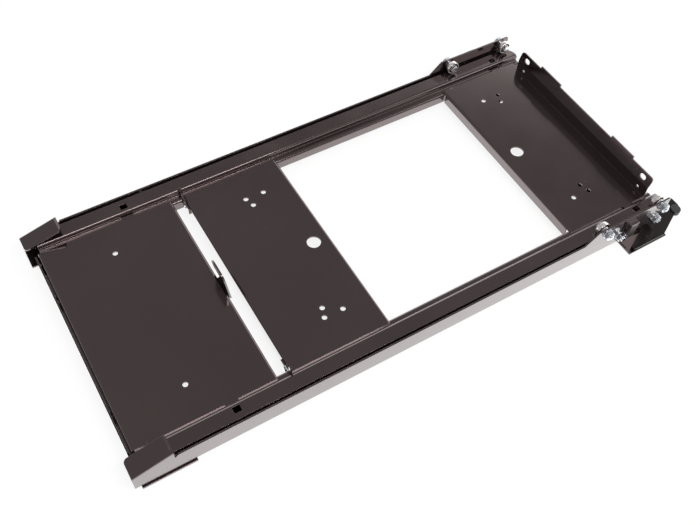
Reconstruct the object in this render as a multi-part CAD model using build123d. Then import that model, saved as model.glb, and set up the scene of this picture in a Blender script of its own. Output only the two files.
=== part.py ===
from build123d import *
import math
import os

# Fridge slide: a tray on bearing rollers that runs out of a fixed base.
# X runs along the slide and the tray travels towards +X, Y goes across it, Z is up.
# The origin is under the middle of the whole slide, on the floor that it stands on.
# A station is a distance along X from the back end of the fixed rails.
# The user stands past the front end and faces the slide: left is -Y and right is +Y.

# Sheet metal
SHEET = 3.0
BEND_INSIDE = 2.0

# Fixed rails
RAIL_LENGTH = 1046.0
RAIL_OUTSIDE_Y = 248.0
RAIL_FOOT_WIDTH = 41.0
RAIL_HEIGHT = 45.0
RAMP_SETBACK = 195.0
RAMP_RUN = 26.0
RAMP_RISE = 24.0
RAIL_CORNER = 4.0

# Lugs on the outside of the raised walls, for a tie-down strap
LUG_SETBACK = 89.0
LUG_WIDTH = 17.0
LUG_BOTTOM = 24.0
LUG_HEIGHT = 37.0
LUG_DEPTH = 10.0
LUG_SLOT_WIDTH = 5.0
LUG_SLOT_HEIGHT = 25.0

# Hold-down flaps at the back end of the fixed rails
FLAP_LENGTH = 68.0
FLAP_WIDTH = 34.0
FLAP_START_HEIGHT = 41.0
FLAP_SLOPE = 15.0
FLAP_FLARE = 4.0
FLAP_CORNER = 7.0
FLAP_RELIEF = 3.0

# Cross straps under the fixed rails, with slots for bolts into the floor
STRAP_WIDTH = 90.0
STRAP_SETBACK = 10.0
BACK_STRAP_HALF = 251.0
FRONT_STRAP_HALF = 280.0
STOP_UPSTAND = 34.0
STOP_UPSTAND_HALF = 203.0
FLOOR_SLOT_WIDTH = 9.0
FLOOR_SLOT_LENGTH = 46.0
FLOOR_SLOT_Y = 146.0

# Tray rails
TRAY_START = 16.0
TRAY_RAIL_SETBACK = 5.0
TRAY_RAIL_OVERHANG = 4.0
TRAY_RAIL_CORNER = 22.0
TRAY_HELD_LENGTH = 306.0
TRAY_WEB_INSIDE_Y = 197.0
TRAY_STEP_Y = 211.5
TRAY_FLANGE_Y = 240.0
TRAY_LIP_Y = 222.0
TRAY_FLANGE_TOP = 46.0
TRAY_LIP_BOTTOM = 10.5
SQUARE_HOLE_LENGTH = 13.0
SQUARE_HOLE_WIDTH = 11.0
SQUARE_HOLE_Y = 224.0
BACK_SQUARE_HOLE_OFFSET = 165.0
FRONT_SQUARE_HOLE_SETBACK = 57.0

# Tray plates
PLATE_TOP = 37.0
PLATE_SIDE_GAP = 7.0
PLATE_SKIRT = 22.0
SKIRT_SIDE_GAP = 4.0
BACK_PLATE_LENGTH = 246.5
FINGER_GAP = 22.0
MIDDLE_PLATE_LENGTH = 188.0
FRONT_PLATE_LENGTH = 178.0
FRONT_PLATE_SETBACK = 15.5
TAB_WIDTH = 22.0
TAB_GAP = 0.3

# Fastening holes in the plates
FRIDGE_HOLE = 9.0
OUTER_HOLE_Y = 143.0
INNER_HOLE_Y = 125.0
BACK_HOLE_OFFSET = 115.5
MIDDLE_HOLE_OFFSET = 96.5
FRONT_HOLE_OFFSET = 58.5
HOLE_PAIR_PITCH = 35.5
MIDDLE_INNER_HOLE_OFFSET = 6.0
FRONT_INNER_HOLE_OFFSET = 30.0
HAND_HOLE = 25.0
MIDDLE_HAND_HOLE_SETBACK = 31.0
FRONT_HAND_HOLE_OFFSET = 34.5

# Upstand at the front of the tray
UPSTAND_HEIGHT = 24.0
UPSTAND_TOP_LENGTH = 22.0
UPSTAND_LEAN = 16.0
UPSTAND_HALF = 195.5
UPSTAND_OFFSET = -9.0
UPSTAND_CORNER = 6.0
CREST_WIDTH = 61.0
CREST_HEIGHT = 5.0
CREST_OFFSET = 107.5
HANDLE_HOLE_WIDTH = 14.0
HANDLE_HOLE_HEIGHT = 10.0
HANDLE_HOLE_OFFSET = 175.0
SMALL_HOLE = 6.0
SMALL_HOLE_HEIGHT = 10.0

# Bearing rollers and the bolts that carry them
ROLLER = 26.0
ROLLER_WIDTH = 8.0
ROLLER_INNER_Y = 230.5
ROLLER_GAP = 0.3
RACE_CORNER = 0.6
RACE_OUTSIDE = 14.8
RACE_GROOVE = 15.2
SHIELD_INSET = 0.5
SHIELD_THICKNESS = 0.6
OUTER_RACE_BORE = 21.6
BOLT = 10.0
BOLT_FIT = 0.05
HEAD_ACROSS_FLATS = 13.0
HEAD_HEIGHT = 5.3
NUT_ACROSS_FLATS = 17.0
HEX_CHAMFER = 1.2
NUT_HEIGHT = 8.0
THIN_NUT_HEIGHT = 4.5
THIN_SPACER = 12.0
BOLT_TIP = 3.0
WASHER = 20.0
WASHER_THICKNESS = 2.0
SPACER = 16.0
UPPER_BACK_ROLLER_SETBACK = 148.0
UPPER_FRONT_ROLLER_SETBACK = 16.5
LOWER_BACK_ROLLER_SETBACK = 109.0
LOWER_FRONT_ROLLER_SETBACK = 23.5
TRAY_ROLLER_OFFSET = 41.0
TRAY_ROLLER_WINDOW = 20.0

# Stops
BUMPER = 16.0
BUMPER_THICKNESS = 2.5
BUMPER_Y = 120.0
BUMPER_HEIGHT = 22.0
BUMPER_STEM = 6.0
STOP_SETBACK = 153.0
STOP_LENGTH = 10.0
STOP_INSIDE_Y = 228.0
STOP_BLOCK_HEIGHT = 18.0
STOP_PAD = 3.0
STOP_GAP = 0.5
STOP_FLANGE_GAP = 1.0
STOP_PAD_INSET = 1.0

# Back latch
LATCH_BAR = 10.0
LATCH_BAR_FIT = 0.075
LATCH_SETBACK = 12.5
LATCH_HEIGHT = 22.5
LATCH_SIDE_GAP = 0.5
DOG_INSIDE_Y = 212.0
DOG_THICKNESS = 8.0
DOG_HUB = 15.0
DOG_REACH = 21.0
DOG_TIP_LENGTH = 8.0
DOG_RIDE_GAP = 0.6
DOG_SLOT_CLEARANCE = 2.0
DOG_SIDE_CLEARANCE = 1.0
DOG_WINDOW_CLEARANCE = 6.0
FINGER_TAB_WIDTH = 46.0
FINGER_TAB_Y = 0.0
FINGER_TAB_TOP = 86.0
FINGER_TAB_BOTTOM = 18.0
FINGER_TAB_LEAN = 9.0
FINGER_TAB_REACH = 18.0
FINGER_TAB_CORNER = 12.0
FINGER_ARM_WIDTH = 46.0
FINGER_ARM_DROP = 2.0
FINGER_NOTCH_CLEARANCE = 3.0
FINGER_HOLE = 6.0
FINGER_HOLE_Y = 8.0
FINGER_HOLE_DROP = 24.0

# Strap hooks riveted to the middle plate
HOOK_PRONG_HEIGHT = 19.0
HOOK_LENGTH = 30.0
HOOK_PRONG_Y = 209.0
HOOK_PRONG_WIDTH = 6.0
HOOK_STRIP = 14.0
HOOK_BRIDGE = 5.0
HOOK_LEDGE_GAP = 0.5
HOOK_WEB_GAP = 1.0
RIVET = 5.0
RIVET_HEAD = 9.0
RIVET_HEAD_HEIGHT = 1.8

# Front lock lever beside the left rail
LEVER_PIVOT_SETBACK = 50.0
LEVER_PIVOT_Y = 231.0
LEVER_PIVOT = 8.0
LEVER_PIVOT_FIT = 0.1
LEVER_EDGE_SETBACK = 1.0
LEVER_PADDLE_SETBACK = 106.0
LEVER_END_WIDTH = 22.8
LEVER_OVERHANG = 56.0
LEVER_SIDE_ANGLE = 27.0
LEVER_INSIDE_Y = 219.0
LEVER_CORNER = 5.0
WAVE_WASHER = 14.0
WAVE_WASHER_THICKNESS = 0.5
LEVER_RING = 12.0
LEVER_RING_THICKNESS = 1.2
LEVER_RING_GAP = 0.3
LEVER_STUD_TIP = 1.5
LOCK_PIN = 7.0
LOCK_PIN_OFFSET = 35.0
LOCK_PIN_TOP = 14.5
LOCK_PIN_GAP = 1.0
LOCK_DEPTH = 5.5
LOCK_CLEARANCE = 1.0
LEVER_GRIP = 20.0
LEVER_GRIP_BELOW = 5.0
LEVER_GRIP_ABOVE = 3.0
LEVER_GRIP_SETBACK = 13.0
LEVER_GRIP_INSET = 3.0
LEVER_GRIP_CORNER = 1.5
LEVER_SLOT_SETBACK = 60.0
LEVER_SLOT_GAP = 0.5

# How far a cutting shape runs past the faces that it opens
PAST = 1.0

# Levels worked out from the sizes above
BEND_OUTSIDE = BEND_INSIDE + SHEET
STRAP_TOP = SHEET
FOOT_TOP = STRAP_TOP + SHEET
RAIL_TOP = STRAP_TOP + RAIL_HEIGHT
RAISED_TOP = RAIL_TOP + RAMP_RISE
RAIL_INSIDE_Y = RAIL_OUTSIDE_Y - SHEET
FLANGE_BOTTOM = TRAY_FLANGE_TOP - SHEET
LEDGE_TOP = PLATE_TOP - SHEET
ROLLER_OUTER_Y = ROLLER_INNER_Y + ROLLER_WIDTH
UPPER_ROLLER_Z = TRAY_FLANGE_TOP + ROLLER_GAP + ROLLER / 2
LOWER_ROLLER_Z = FLANGE_BOTTOM - ROLLER_GAP - ROLLER / 2
TRAY_ROLLER_Z = FOOT_TOP + ROLLER_GAP + ROLLER / 2
LEVER_BOTTOM = FOOT_TOP + WAVE_WASHER_THICKNESS
LEVER_TOP = LEVER_BOTTOM + SHEET
PLATE_HALF = TRAY_STEP_Y - PLATE_SIDE_GAP
PLATE_SKIRT_HALF = TRAY_WEB_INSIDE_Y - SKIRT_SIDE_GAP
LEVER_OUTSIDE_Y = FRONT_STRAP_HALF - LEVER_EDGE_SETBACK

# Stations worked out from the sizes above
RAMP_START = RAIL_LENGTH - RAMP_SETBACK
LUG_STATION = RAIL_LENGTH - LUG_SETBACK
STOP_STATION = RAIL_LENGTH - STOP_SETBACK
TRAY_TRAVEL = RAIL_LENGTH - TRAY_HELD_LENGTH
TRAY_RAIL_START = TRAY_START + TRAY_RAIL_SETBACK
TRAY_RAIL_END = RAIL_LENGTH + TRAY_RAIL_OVERHANG
BACK_PLATE_END = TRAY_START + BACK_PLATE_LENGTH
MIDDLE_PLATE_START = BACK_PLATE_END + FINGER_GAP
MIDDLE_PLATE_END = MIDDLE_PLATE_START + MIDDLE_PLATE_LENGTH
FRONT_PLATE_END = TRAY_RAIL_END - FRONT_PLATE_SETBACK
FRONT_PLATE_START = FRONT_PLATE_END - FRONT_PLATE_LENGTH
BACK_SQUARE_HOLE_STATION = TRAY_START + BACK_SQUARE_HOLE_OFFSET
FRONT_SQUARE_HOLE_STATION = TRAY_RAIL_END - FRONT_SQUARE_HOLE_SETBACK
BACK_HOLE_STATION = TRAY_START + BACK_HOLE_OFFSET
MIDDLE_HOLE_STATION = MIDDLE_PLATE_START + MIDDLE_HOLE_OFFSET
FRONT_HOLE_STATION = FRONT_PLATE_START + FRONT_HOLE_OFFSET
MIDDLE_HAND_HOLE_STATION = MIDDLE_PLATE_END - MIDDLE_HAND_HOLE_SETBACK
FRONT_HAND_HOLE_STATION = FRONT_PLATE_START + FRONT_HAND_HOLE_OFFSET
UPPER_BACK_ROLLER_STATION = RAIL_LENGTH - UPPER_BACK_ROLLER_SETBACK
UPPER_FRONT_ROLLER_STATION = RAIL_LENGTH - UPPER_FRONT_ROLLER_SETBACK
LOWER_BACK_ROLLER_STATION = RAIL_LENGTH - LOWER_BACK_ROLLER_SETBACK
LOWER_FRONT_ROLLER_STATION = RAIL_LENGTH - LOWER_FRONT_ROLLER_SETBACK
TRAY_ROLLER_STATION = TRAY_RAIL_START + TRAY_ROLLER_OFFSET
LEVER_PIVOT_STATION = RAIL_LENGTH - LEVER_PIVOT_SETBACK
LEVER_PADDLE_START = RAIL_LENGTH - LEVER_PADDLE_SETBACK
LEVER_END_STATION = RAIL_LENGTH + LEVER_OVERHANG
LEVER_SLOT_START = RAIL_LENGTH - LEVER_SLOT_SETBACK
FRONT_STRAP_START = RAIL_LENGTH - STRAP_SETBACK - STRAP_WIDTH
LATCH_STATION = BACK_PLATE_END - LATCH_SETBACK
DOG_TIP_BOTTOM = FOOT_TOP + DOG_RIDE_GAP
MIDDLE = LEVER_END_STATION / 2


def along(station):
    return station - MIDDLE


def block(start, end, y_low, y_high, z_low, z_high):
    size = (end - start, y_high - y_low, z_high - z_low)
    centre = ((along(start) + along(end)) / 2, (y_low + y_high) / 2, (z_low + z_high) / 2)
    return Pos(*centre) * Box(*size)


def side_outline(points, y_outside, thickness):
    # An outline of stations and heights, thickened from y_outside towards the middle
    spots = [(along(station), height) for station, height in points]
    face = make_face(Polyline(*spots, close=True))
    return Pos(0, y_outside, 0) * extrude(Plane.XZ * face, thickness)


def plan_outline(points, z_low, thickness):
    spots = [(along(station), y) for station, y in points]
    face = make_face(Polyline(*spots, close=True))
    return Pos(0, 0, z_low) * extrude(face, thickness)


def crosswise(diameter, station, y_low, y_high, height):
    # A round bar or hole along Y
    bar = Cylinder(diameter / 2, y_high - y_low, rotation=(90, 0, 0))
    return Pos(along(station), (y_low + y_high) / 2, height) * bar


def upright(diameter, station, y, z_low, z_high):
    bar = Cylinder(diameter / 2, z_high - z_low)
    return Pos(along(station), y, (z_low + z_high) / 2) * bar


def hexagon(across_flats, station, y_low, y_high, height):
    face = RegularPolygon(across_flats / 2, 6, major_radius=False)
    prism = extrude(face, (y_high - y_low) / 2, both=True)
    chamfered = chamfer_rims(prism, across_flats)
    return Pos(along(station), (y_low + y_high) / 2, height) * Rot(90, 0, 0) * chamfered


def chamfer_rims(prism, across_flats):
    # The corners of a hexagon are turned off by a cone at each end
    length = prism.bounding_box().size.Z
    reach = across_flats * 0.56
    drop = length / 2
    profile = Polyline(
        (0, -drop), (across_flats / 2, -drop), (reach, -drop + HEX_CHAMFER),
        (reach, drop - HEX_CHAMFER), (across_flats / 2, drop), (0, drop), close=True,
    )
    turned = revolve(Plane.XZ * make_face(profile), Axis.Z)
    return prism & turned


def on_side(shape, side):
    return shape if side > 0 else mirror(shape, about=Plane.XZ)


def lengthwise_edges(shape, spots):
    # The edges along X that run through the given places in Y and Z
    chosen = []
    for edge in shape.edges().filter_by(Axis.X):
        middle = edge.center()
        for y, z in spots:
            if abs(middle.Y - y) < 0.05 and abs(middle.Z - z) < 0.05:
                chosen.append(edge)
    return chosen


def crosswise_edges(shape, spots):
    # The edges along Y that run through the given stations and heights
    chosen = []
    for edge in shape.edges().filter_by(Axis.Y):
        middle = edge.center()
        for station, z in spots:
            if abs(middle.X - along(station)) < 0.05 and abs(middle.Z - z) < 0.05:
                chosen.append(edge)
    return chosen


# Fixed rails
def rail_wall():
    slope = math.tan(math.radians(FLAP_SLOPE))
    flap_low = STRAP_TOP + FLAP_START_HEIGHT
    flap_high = flap_low + FLAP_LENGTH * slope
    relief_end = FLAP_LENGTH + FLAP_RELIEF
    points = [
        (0, STRAP_TOP),
        (0, flap_low),
        (FLAP_LENGTH, flap_high),
        (FLAP_LENGTH, RAIL_TOP - RAIL_CORNER),
        (relief_end, RAIL_TOP - RAIL_CORNER),
        (relief_end, RAIL_TOP),
        (RAMP_START, RAIL_TOP),
        (RAMP_START + RAMP_RUN, RAISED_TOP),
        (RAIL_LENGTH, RAISED_TOP),
        (RAIL_LENGTH, STRAP_TOP),
    ]
    wall = side_outline(points, RAIL_OUTSIDE_Y, SHEET)
    corners = crosswise_edges(wall, [(relief_end, RAIL_TOP), (RAIL_LENGTH, RAISED_TOP)])
    return fillet(corners, RAIL_CORNER - 0.5)


def rail_flap():
    # The flap slopes up towards the front, so that it leads the tray flange in under it
    slope = math.tan(math.radians(FLAP_SLOPE))
    drop = SHEET / math.cos(math.radians(FLAP_SLOPE))
    low = STRAP_TOP + FLAP_START_HEIGHT
    mouth = FLAP_LENGTH - FLAP_FLARE
    mouth_top = low + mouth * slope
    points = [
        (0, low),
        (mouth, mouth_top),
        (FLAP_LENGTH, mouth_top + FLAP_FLARE),
        (FLAP_LENGTH, mouth_top + FLAP_FLARE * slope - drop),
        (0, low - drop),
    ]
    inside = RAIL_OUTSIDE_Y - FLAP_WIDTH
    flap = side_outline(points, RAIL_OUTSIDE_Y - BEND_OUTSIDE, FLAP_WIDTH - BEND_OUTSIDE)
    plan = block(0, FLAP_LENGTH, inside, RAIL_OUTSIDE_Y, 0, RAISED_TOP + FLAP_WIDTH)
    inner_corners = [edge for edge in plan.edges().filter_by(Axis.Z) if abs(edge.center().Y - inside) < 0.05]
    return flap & fillet(inner_corners, FLAP_CORNER)


def flap_bend():
    # The strip of the flap that rolls over into the wall
    slope = math.tan(math.radians(FLAP_SLOPE))
    drop = SHEET / math.cos(math.radians(FLAP_SLOPE))
    low = STRAP_TOP + FLAP_START_HEIGHT
    high = low + FLAP_LENGTH * slope
    points = [(0, low), (FLAP_LENGTH, high), (FLAP_LENGTH, high - drop), (0, low - drop)]
    return side_outline(points, RAIL_OUTSIDE_Y, BEND_OUTSIDE)


def flap_bend_edges(rail):
    slope = math.tan(math.radians(FLAP_SLOPE))
    middle_z = STRAP_TOP + FLAP_START_HEIGHT + FLAP_LENGTH / 2 * slope
    chosen = []
    for edge in rail.edges():
        middle = edge.center()
        on_face = abs(middle.Y - RAIL_OUTSIDE_Y) < 0.05 and abs(middle.Z - middle_z) < 0.05
        if on_face and abs(middle.X - along(FLAP_LENGTH / 2)) < 0.05:
            chosen.append(edge)
    return chosen


def rail_foot():
    return block(0, RAIL_LENGTH, RAIL_OUTSIDE_Y - RAIL_FOOT_WIDTH, RAIL_OUTSIDE_Y, STRAP_TOP, FOOT_TOP)


def dog_slot(station):
    # The hole in the rail foot that the tip of a latch dog drops into
    tip = station - DOG_REACH
    start = tip - DOG_SLOT_CLEARANCE
    end = tip + DOG_TIP_LENGTH + 2 * DOG_SLOT_CLEARANCE
    y_low = DOG_INSIDE_Y - DOG_SIDE_CLEARANCE
    y_high = DOG_INSIDE_Y + DOG_THICKNESS + DOG_SIDE_CLEARANCE
    return block(start, end, y_low, y_high, 0, FOOT_TOP + PAST)


def base_rail(side):
    rail = rail_wall() + rail_foot() + flap_bend()
    rail = fillet(flap_bend_edges(rail), BEND_OUTSIDE - PAST)
    rail += rail_flap()
    bottom = [(RAIL_OUTSIDE_Y, STRAP_TOP)]
    rail = fillet(lengthwise_edges(rail, bottom), BEND_OUTSIDE)
    rail = fillet(lengthwise_edges(rail, [(RAIL_INSIDE_Y, FOOT_TOP)]), BEND_INSIDE)
    for row, end_name, station, height in roller_stations():
        rail -= crosswise(BOLT + 2 * BOLT_FIT, station, RAIL_INSIDE_Y - PAST, RAIL_OUTSIDE_Y + PAST, height)
    rail -= dog_slot(LATCH_STATION)
    rail -= dog_slot(LATCH_STATION + TRAY_TRAVEL)
    if side < 0:
        rail -= upright(LEVER_PIVOT, LEVER_PIVOT_STATION, LEVER_PIVOT_Y, 0, FOOT_TOP + PAST)
        slot_top = LEVER_TOP + LEVER_SLOT_GAP
        slot_inside_y = RAIL_INSIDE_Y - BEND_INSIDE - PAST
        rail -= block(
            LEVER_SLOT_START, RAIL_LENGTH + PAST,
            slot_inside_y, RAIL_OUTSIDE_Y + PAST, FOOT_TOP, slot_top,
        )
    return on_side(rail, side)


def wall_lug(side):
    # A block welded to the wall, with an upright slot for a strap through its middle
    start = LUG_STATION - LUG_WIDTH / 2
    end = LUG_STATION + LUG_WIDTH / 2
    z_high = LUG_BOTTOM + LUG_HEIGHT
    lug = block(start, end, RAIL_OUTSIDE_Y, RAIL_OUTSIDE_Y + LUG_DEPTH, LUG_BOTTOM, z_high)
    slot_low = LUG_BOTTOM + (LUG_HEIGHT - LUG_SLOT_HEIGHT) / 2
    slot_y = RAIL_OUTSIDE_Y + (LUG_DEPTH - LUG_SLOT_WIDTH) / 2
    lug -= block(start - PAST, end + PAST, slot_y, slot_y + LUG_SLOT_WIDTH, slot_low, slot_low + LUG_SLOT_HEIGHT)
    return on_side(lug, side)


# Cross straps
def floor_slots(station):
    slots = []
    for y in (-FLOOR_SLOT_Y, FLOOR_SLOT_Y):
        face = SlotOverall(FLOOR_SLOT_LENGTH, FLOOR_SLOT_WIDTH)
        slots.append(Pos(along(station), y, -PAST) * extrude(face, STRAP_TOP + 2 * PAST))
    return slots


def back_strap():
    start = STRAP_SETBACK
    strap = block(start, start + STRAP_WIDTH, -BACK_STRAP_HALF, BACK_STRAP_HALF, 0, STRAP_TOP)
    strap += block(start, start + SHEET, -STOP_UPSTAND_HALF, STOP_UPSTAND_HALF, 0, STOP_UPSTAND)
    for slot in floor_slots(start + STRAP_WIDTH / 2):
        strap -= slot
    for y in (-BUMPER_Y, BUMPER_Y):
        hole = Cylinder(BUMPER_STEM / 2, SHEET + 2 * PAST, rotation=(0, 90, 0))
        strap -= Pos(along(start + SHEET / 2), y, BUMPER_HEIGHT) * hole
    return strap


def front_strap():
    start = FRONT_STRAP_START
    strap = block(start, start + STRAP_WIDTH, -FRONT_STRAP_HALF, FRONT_STRAP_HALF, 0, STRAP_TOP)
    for slot in floor_slots(start + STRAP_WIDTH / 2):
        strap -= slot
    strap -= upright(LEVER_PIVOT, LEVER_PIVOT_STATION, -LEVER_PIVOT_Y, -PAST, STRAP_TOP + PAST)
    return strap


# Bearing rollers
def roller_stations():
    # The rollers on one side of the base: row, end, station and height
    return [
        ("upper", "back", UPPER_BACK_ROLLER_STATION, UPPER_ROLLER_Z),
        ("upper", "front", UPPER_FRONT_ROLLER_STATION, UPPER_ROLLER_Z),
        ("lower", "back", LOWER_BACK_ROLLER_STATION, LOWER_ROLLER_Z),
        ("lower", "front", LOWER_FRONT_ROLLER_STATION, LOWER_ROLLER_Z),
    ]


def roller_places():
    # Every roller on the base: name, station, side and height
    places = []
    for side, side_name in ((-1, "left"), (1, "right")):
        for row, end_name, station, height in roller_stations():
            places.append((f"{side_name}_{row}_{end_name}", station, side, height))
    return places


def outer_race(station, side, height):
    # The outer race and its two shields turn together around the inner race
    race = crosswise(ROLLER, station, ROLLER_INNER_Y, ROLLER_OUTER_Y, height)
    race = fillet(race.edges(), RACE_CORNER)
    race -= crosswise(OUTER_RACE_BORE, station, ROLLER_INNER_Y - PAST, ROLLER_OUTER_Y + PAST, height)
    for y_low in (ROLLER_INNER_Y + SHIELD_INSET, ROLLER_OUTER_Y - SHIELD_INSET - SHIELD_THICKNESS):
        shield = crosswise(OUTER_RACE_BORE, station, y_low, y_low + SHIELD_THICKNESS, height)
        shield -= crosswise(RACE_GROOVE, station, y_low - PAST, y_low + SHIELD_THICKNESS + PAST, height)
        race += shield
    return on_side(race, side)


def inner_race(station, side, height):
    race = crosswise(RACE_OUTSIDE, station, ROLLER_INNER_Y, ROLLER_OUTER_Y, height)
    race -= crosswise(BOLT + 2 * BOLT_FIT, station, ROLLER_INNER_Y - PAST, ROLLER_OUTER_Y + PAST, height)
    return on_side(race, side)


def roller_bolt(station, side, height):
    head_y = ROLLER_INNER_Y - HEAD_HEIGHT
    tip_y = RAIL_OUTSIDE_Y + WASHER_THICKNESS + NUT_HEIGHT + BOLT_TIP
    bolt = hexagon(HEAD_ACROSS_FLATS, station, head_y, ROLLER_INNER_Y, height)
    bolt += crosswise(BOLT, station, ROLLER_INNER_Y, tip_y, height)
    return on_side(bolt, side)


def roller_spacer(station, side, height):
    spacer = crosswise(SPACER, station, ROLLER_OUTER_Y, RAIL_INSIDE_Y, height)
    spacer -= crosswise(BOLT + 2 * BOLT_FIT, station, ROLLER_OUTER_Y - PAST, RAIL_INSIDE_Y + PAST, height)
    return on_side(spacer, side)


def roller_washer(station, side, height):
    y_high = RAIL_OUTSIDE_Y + WASHER_THICKNESS
    washer = crosswise(WASHER, station, RAIL_OUTSIDE_Y, y_high, height)
    washer -= crosswise(BOLT + 2 * BOLT_FIT, station, RAIL_OUTSIDE_Y - PAST, y_high + PAST, height)
    return on_side(washer, side)


def roller_nut(station, side, height):
    y_low = RAIL_OUTSIDE_Y + WASHER_THICKNESS
    nut = hexagon(NUT_ACROSS_FLATS, station, y_low, y_low + NUT_HEIGHT, height)
    nut -= crosswise(BOLT + 2 * BOLT_FIT, station, y_low - PAST, y_low + NUT_HEIGHT + PAST, height)
    return on_side(nut, side)


# Rollers at the back end of the tray, which run on the feet of the fixed rails
def tray_roller_bolt(side):
    head_y = TRAY_WEB_INSIDE_Y - HEAD_HEIGHT
    tip_y = ROLLER_OUTER_Y + THIN_NUT_HEIGHT
    bolt = hexagon(HEAD_ACROSS_FLATS, TRAY_ROLLER_STATION, head_y, TRAY_WEB_INSIDE_Y, TRAY_ROLLER_Z)
    bolt += crosswise(BOLT, TRAY_ROLLER_STATION, TRAY_WEB_INSIDE_Y, tip_y, TRAY_ROLLER_Z)
    return on_side(bolt, side)


def tray_roller_spacer(side):
    y_low = TRAY_WEB_INSIDE_Y + SHEET
    spacer = crosswise(THIN_SPACER, TRAY_ROLLER_STATION, y_low, ROLLER_INNER_Y, TRAY_ROLLER_Z)
    y_high = ROLLER_INNER_Y + PAST
    spacer -= crosswise(BOLT + 2 * BOLT_FIT, TRAY_ROLLER_STATION, y_low - PAST, y_high, TRAY_ROLLER_Z)
    return on_side(spacer, side)


def tray_roller_nut(side):
    y_high = ROLLER_OUTER_Y + THIN_NUT_HEIGHT
    nut = hexagon(NUT_ACROSS_FLATS, TRAY_ROLLER_STATION, ROLLER_OUTER_Y, y_high, TRAY_ROLLER_Z)
    y_low = ROLLER_OUTER_Y - PAST
    nut -= crosswise(BOLT + 2 * BOLT_FIT, TRAY_ROLLER_STATION, y_low, y_high + PAST, TRAY_ROLLER_Z)
    return on_side(nut, side)


# Tray rails
def tray_section():
    # Flange, step down, ledge for the plates, web and lip, as one bent section
    points = [
        (TRAY_STEP_Y, TRAY_FLANGE_TOP),
        (TRAY_FLANGE_Y, TRAY_FLANGE_TOP),
        (TRAY_FLANGE_Y, FLANGE_BOTTOM),
        (TRAY_STEP_Y + SHEET, FLANGE_BOTTOM),
        (TRAY_STEP_Y + SHEET, LEDGE_TOP - SHEET),
        (TRAY_WEB_INSIDE_Y + SHEET, LEDGE_TOP - SHEET),
        (TRAY_WEB_INSIDE_Y + SHEET, TRAY_LIP_BOTTOM + SHEET),
        (TRAY_LIP_Y, TRAY_LIP_BOTTOM + SHEET),
        (TRAY_LIP_Y, TRAY_LIP_BOTTOM),
        (TRAY_WEB_INSIDE_Y, TRAY_LIP_BOTTOM),
        (TRAY_WEB_INSIDE_Y, LEDGE_TOP),
        (TRAY_STEP_Y, LEDGE_TOP),
    ]
    face = make_face(Polyline(*points, close=True))
    start = Plane(origin=(along(TRAY_RAIL_START), 0, 0), x_dir=(0, 1, 0), z_dir=(1, 0, 0))
    return extrude(start * face, TRAY_RAIL_END - TRAY_RAIL_START)


def tray_rail(side):
    rail = tray_section()
    outside_bends = [
        (TRAY_STEP_Y, TRAY_FLANGE_TOP),
        (TRAY_STEP_Y + SHEET, LEDGE_TOP - SHEET),
        (TRAY_WEB_INSIDE_Y, LEDGE_TOP),
        (TRAY_WEB_INSIDE_Y, TRAY_LIP_BOTTOM),
    ]
    inside_bends = [
        (TRAY_STEP_Y + SHEET, FLANGE_BOTTOM),
        (TRAY_STEP_Y, LEDGE_TOP),
        (TRAY_WEB_INSIDE_Y + SHEET, LEDGE_TOP - SHEET),
        (TRAY_WEB_INSIDE_Y + SHEET, TRAY_LIP_BOTTOM + SHEET),
    ]
    rail = fillet(lengthwise_edges(rail, outside_bends), BEND_OUTSIDE)
    rail = fillet(lengthwise_edges(rail, inside_bends), BEND_INSIDE)
    for station in (BACK_SQUARE_HOLE_STATION, FRONT_SQUARE_HOLE_STATION):
        rail -= block(
            station - SQUARE_HOLE_LENGTH / 2, station + SQUARE_HOLE_LENGTH / 2,
            SQUARE_HOLE_Y - SQUARE_HOLE_WIDTH / 2, SQUARE_HOLE_Y + SQUARE_HOLE_WIDTH / 2,
            FLANGE_BOTTOM - PAST, TRAY_FLANGE_TOP + PAST,
        )
    web_out = TRAY_WEB_INSIDE_Y + SHEET + PAST
    web_in = TRAY_WEB_INSIDE_Y - PAST
    rail -= crosswise(BOLT + 2 * BOLT_FIT, TRAY_ROLLER_STATION, web_in, web_out, TRAY_ROLLER_Z)
    rail -= crosswise(LATCH_BAR + 2 * LATCH_BAR_FIT, LATCH_STATION, web_in, web_out, LATCH_HEIGHT)
    rail -= dog_window()
    rail -= tray_roller_window()
    rail -= flange_corner()
    if side < 0:
        rail -= lock_notch(0)
        rail -= lock_notch(TRAY_TRAVEL)
    return on_side(rail, side)


def flange_corner():
    # What the rounded front corner of the top flange leaves out
    size = TRAY_RAIL_CORNER
    start = TRAY_RAIL_END - size
    y_low = TRAY_FLANGE_Y - size
    z_low = FLANGE_BOTTOM - PAST
    z_high = TRAY_FLANGE_TOP + PAST
    corner = block(start, TRAY_RAIL_END + PAST, y_low, TRAY_FLANGE_Y + PAST, z_low, z_high)
    return corner - upright(2 * size, start, y_low, z_low - PAST, z_high + PAST)


def tray_roller_window():
    # The hole in the lip that leaves room for the roller's bolt and spacer
    half = TRAY_ROLLER_WINDOW / 2
    z_high = TRAY_LIP_BOTTOM + SHEET + BEND_INSIDE
    y_low = TRAY_WEB_INSIDE_Y + SHEET
    station = TRAY_ROLLER_STATION
    return block(station - half, station + half, y_low, TRAY_LIP_Y + PAST, TRAY_LIP_BOTTOM - PAST, z_high)


def dog_window():
    # The hole in the lip that a latch dog swings through
    start = LATCH_STATION - DOG_REACH - DOG_WINDOW_CLEARANCE
    end = LATCH_STATION + DOG_HUB / 2 + DOG_SLOT_CLEARANCE
    y_low = DOG_INSIDE_Y - DOG_SIDE_CLEARANCE
    y_high = DOG_INSIDE_Y + DOG_THICKNESS + DOG_SIDE_CLEARANCE
    return block(start, end, y_low, y_high, TRAY_LIP_BOTTOM - PAST, TRAY_LIP_BOTTOM + SHEET + PAST)


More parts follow.
